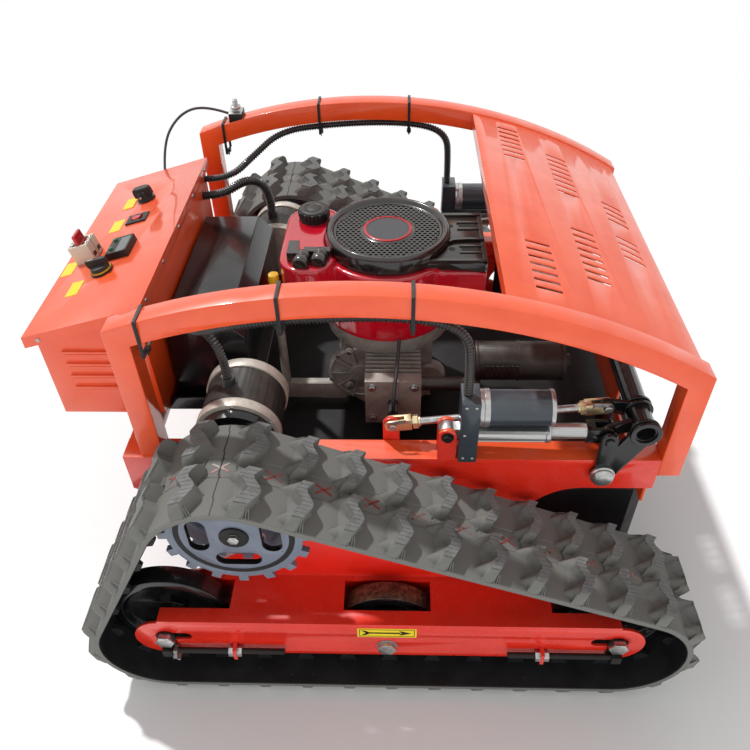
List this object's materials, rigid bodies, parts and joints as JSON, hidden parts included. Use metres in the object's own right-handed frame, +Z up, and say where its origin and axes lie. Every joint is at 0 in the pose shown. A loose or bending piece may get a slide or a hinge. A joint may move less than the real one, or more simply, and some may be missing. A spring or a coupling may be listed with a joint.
{
  "type": "remote control slope mower",
  "caption": "Tracked remote control mower: petrol engine over a height-adjustable cutting deck, rubber tracks with star lugs, bent-tube frame and a sloping control box.",
  "frame": {"origin": "on the ground under the middle of the machine's box", "axes": "+X forward, +Y to the machine's left, +Z up"},
  "size_m": [1.0601, 1.032, 0.714],
  "materials": {
    "frame_red": "gloss powder coat",
    "engine_crimson": "gloss paint",
    "gloss_black": "gloss black paint",
    "satin_black": "satin black plastic",
    "motor_grey": "dark grey paint with light end rings",
    "cast_grey": "cast alloy",
    "sprocket_grey": "blue-grey paint",
    "zinc": "zinc plate",
    "yellow_zinc": "yellow zinc plate",
    "track_rubber": "moulded rubber",
    "cable_black": "corrugated plastic",
    "beige_plastic": "moulded plastic",
    "red_plastic": "moulded plastic",
    "green_plastic": "moulded plastic",
    "yellow_plastic": "moulded plastic",
    "battery_grey": "moulded plastic"
  },
  "bodies": {
    "frame": {"hoop_right": "frame_red", "hoop_left": "frame_red", "side_frame_right": "frame_red", "side_frame_left": "frame_red", "front_panel": "frame_red", "hood": "frame_red", "control_box": "frame_red", "control_box_lid": "frame_red", "rear_carrier": "frame_red", "battery_tray": "satin_black", "battery_cover": "gloss_black", "battery": "battery_grey", "motor_controller": "zinc", "drive_motor_right": "motor_grey", "drive_motor_left": "motor_grey", "track_frame_right": "frame_red", "track_frame_left": "frame_red", "pivot_and_axle_bolts": "zinc", "track_tensioners": "zinc", "rubber_track_right": "track_rubber", "rubber_track_left": "track_rubber", "rocker_switch_bezel": "satin_black", "breaker": "beige_plastic", "meter": "satin_black", "cable_conduits": "cable_black", "cable_ties": "cable_black", "aerial_clamp": "zinc"},
    "lift_rocker": {"lift_rocker": "gloss_black"},
    "deck": {"mower_deck": "gloss_black", "engine_block": "cast_grey", "engine_shroud": "engine_crimson", "starter_housing": "satin_black", "muffler": "satin_black"},
    "drive_sprocket_right": {"drive_sprocket_right": "sprocket_grey"},
    "front_idler_right": {"front_idler_right": "gloss_black"},
    "rear_idler_right": {"rear_idler_right": "gloss_black"},
    "track_roller_right": {"track_roller_right": "gloss_black"},
    "rear_lever_right": {"rear_lever_right": "frame_red"},
    "tie_rod_right": {"tie_rod_right": "yellow_zinc"},
    "actuator_right": {"actuator_right": "motor_grey"},
    "actuator_rod_right": {"actuator_rod_right": "zinc"},
    "drive_sprocket_left": {"drive_sprocket_left": "sprocket_grey"},
    "front_idler_left": {"front_idler_left": "gloss_black"},
    "rear_idler_left": {"rear_idler_left": "gloss_black"},
    "track_roller_left": {"track_roller_left": "gloss_black"},
    "rear_lever_left": {"rear_lever_left": "frame_red"},
    "tie_rod_left": {"tie_rod_left": "yellow_zinc"},
    "actuator_left": {"actuator_left": "motor_grey"},
    "actuator_rod_left": {"actuator_rod_left": "zinc"},
    "crank": {"crankshaft": "zinc", "cutting_blade": "zinc"},
    "fuel_cap": {"fuel_cap": "satin_black"},
    "dipstick": {"dipstick": "yellow_plastic"},
    "rotary_knob": {"rotary_knob": "satin_black"},
    "rocker_switch_paddle": {"rocker_switch_paddle": "red_plastic"},
    "breaker_lever": {"breaker_lever": "red_plastic"},
    "selector_lever": {"selector_lever": "satin_black"},
    "meter_button_right": {"meter_button_right": "green_plastic"},
    "meter_button_left": {"meter_button_left": "green_plastic"}
  },
  "joints": [
    {"name": "deck_lift", "type": "hinge", "parent": "frame", "child": "lift_rocker", "pos_m": [0.353, 0, 0.383], "axis": [0, 1, 0], "range_deg": [-28, 8]},
    {"name": "deck_hang", "type": "hinge", "parent": "lift_rocker", "child": "deck", "pos_m": [0.268, 0, 0.383], "axis": [0, 1, 0], "range_deg": [-8, 28]},
    {"name": "track_drive_right", "type": "hinge", "parent": "frame", "child": "drive_sprocket_right", "pos_m": [-0.201, -0.433, 0.368], "axis": [0, 1, 0], "continuous": true},
    {"name": "front_idler_spin_right", "type": "hinge", "parent": "frame", "child": "front_idler_right", "pos_m": [0.396, -0.433, 0.132], "axis": [0, 1, 0], "continuous": true},
    {"name": "rear_idler_spin_right", "type": "hinge", "parent": "frame", "child": "rear_idler_right", "pos_m": [-0.343, -0.433, 0.132], "axis": [0, 1, 0], "continuous": true},
    {"name": "track_roller_spin_right", "type": "hinge", "parent": "frame", "child": "track_roller_right", "pos_m": [0.022, -0.433, 0.1125], "axis": [0, 1, 0], "continuous": true},
    {"name": "rear_lever_pivot_right", "type": "hinge", "parent": "frame", "child": "rear_lever_right", "pos_m": [0.029, -0.294, 0.342], "axis": [0, 1, 0], "range_deg": [-28, 8]},
    {"name": "tie_rod_pivot_right", "type": "hinge", "parent": "lift_rocker", "child": "tie_rod_right", "pos_m": [0.352, -0.294, 0.481], "axis": [0, 1, 0], "range_deg": [-8, 28]},
    {"name": "actuator_pivot_right", "type": "hinge", "parent": "frame", "child": "actuator_right", "pos_m": [0.113, -0.322, 0.455], "axis": [0, 1, 0], "range_deg": [-0.52, 1.82]},
    {"name": "actuator_stroke_right", "type": "slide", "parent": "actuator_right", "child": "actuator_rod_right", "axis": [1, 0, 0], "range_m": [-0.0336, 0.0096]},
    {"name": "track_drive_left", "type": "hinge", "parent": "frame", "child": "drive_sprocket_left", "pos_m": [-0.201, 0.433, 0.368], "axis": [0, 1, 0], "continuous": true},
    {"name": "front_idler_spin_left", "type": "hinge", "parent": "frame", "child": "front_idler_left", "pos_m": [0.396, 0.433, 0.132], "axis": [0, 1, 0], "continuous": true},
    {"name": "rear_idler_spin_left", "type": "hinge", "parent": "frame", "child": "rear_idler_left", "pos_m": [-0.343, 0.433, 0.132], "axis": [0, 1, 0], "continuous": true},
    {"name": "track_roller_spin_left", "type": "hinge", "parent": "frame", "child": "track_roller_left", "pos_m": [0.022, 0.433, 0.1125], "axis": [0, 1, 0], "continuous": true},
    {"name": "rear_lever_pivot_left", "type": "hinge", "parent": "frame", "child": "rear_lever_left", "pos_m": [0.029, 0.294, 0.342], "axis": [0, 1, 0], "range_deg": [-28, 8]},
    {"name": "tie_rod_pivot_left", "type": "hinge", "parent": "lift_rocker", "child": "tie_rod_left", "pos_m": [0.352, 0.294, 0.481], "axis": [0, 1, 0], "range_deg": [-8, 28]},
    {"name": "actuator_pivot_left", "type": "hinge", "parent": "frame", "child": "actuator_left", "pos_m": [0.113, 0.322, 0.455], "axis": [0, 1, 0], "range_deg": [-0.52, 1.82]},
    {"name": "actuator_stroke_left", "type": "slide", "parent": "actuator_left", "child": "actuator_rod_left", "axis": [1, 0, 0], "range_m": [-0.0336, 0.0096]},
    {"name": "crank_spin", "type": "hinge", "parent": "deck", "child": "crank", "pos_m": [0.02, 0, 0.3], "axis": [0, 0, 1], "continuous": true},
    {"name": "fuel_cap_turn", "type": "hinge", "parent": "deck", "child": "fuel_cap", "pos_m": [-0.112, 0.064, 0.607], "axis": [0, 0, 1], "range_deg": [0, 120]},
    {"name": "dipstick_pull", "type": "slide", "parent": "deck", "child": "dipstick", "axis": [0, 0, 1], "range_m": [0, 0.06]},
    {"name": "rotary_knob_turn", "type": "hinge", "parent": "frame", "child": "rotary_knob", "pos_m": [-0.432, 0.131, 0.60107], "axis": [-0.2754, 0, 0.9613], "range_deg": [-150, 150]},
    {"name": "rocker_switch_tilt", "type": "hinge", "parent": "frame", "child": "rocker_switch_paddle", "pos_m": [-0.42745, 0.055, 0.6003], "axis": [0, 1, 0], "range_deg": [-10, 10]},
    {"name": "breaker_throw", "type": "hinge", "parent": "frame", "child": "breaker_lever", "pos_m": [-0.49371, -0.044, 0.61252], "axis": [0, 1, 0], "range_deg": [-25, 25]},
    {"name": "selector_turn", "type": "hinge", "parent": "frame", "child": "selector_lever", "pos_m": [-0.443, -0.106, 0.59792], "axis": [-0.2754, 0, 0.9613], "range_deg": [-90, 90]},
    {"name": "meter_button_press_right", "type": "slide", "parent": "frame", "child": "meter_button_right", "axis": [0.2754, 0, -0.9613], "range_m": [0, 0.0015]},
    {"name": "meter_button_press_left", "type": "slide", "parent": "frame", "child": "meter_button_left", "axis": [0.2754, 0, -0.9613], "range_m": [0, 0.0015]}
  ],
  "couplings": [
    {"joint": "deck_hang", "follows": "deck_lift", "ratio": -1},
    {"joint": "front_idler_spin_right", "follows": "track_drive_right", "ratio": 1.1429},
    {"joint": "rear_idler_spin_right", "follows": "track_drive_right", "ratio": 1.1429},
    {"joint": "track_roller_spin_right", "follows": "track_drive_right", "ratio": 1.4118},
    {"joint": "rear_lever_pivot_right", "follows": "deck_lift", "ratio": 1},
    {"joint": "tie_rod_pivot_right", "follows": "deck_lift", "ratio": -1},
    {"joint": "actuator_pivot_right", "follows": "deck_lift", "ratio": -0.065},
    {"joint": "actuator_stroke_right", "follows": "deck_lift", "m_per_rad": 0.06875},
    {"joint": "front_idler_spin_left", "follows": "track_drive_left", "ratio": 1.1429},
    {"joint": "rear_idler_spin_left", "follows": "track_drive_left", "ratio": 1.1429},
    {"joint": "track_roller_spin_left", "follows": "track_drive_left", "ratio": 1.4118},
    {"joint": "rear_lever_pivot_left", "follows": "deck_lift", "ratio": 1},
    {"joint": "tie_rod_pivot_left", "follows": "deck_lift", "ratio": -1},
    {"joint": "actuator_pivot_left", "follows": "deck_lift", "ratio": -0.065},
    {"joint": "actuator_stroke_left", "follows": "deck_lift", "m_per_rad": 0.06875}
  ]
}
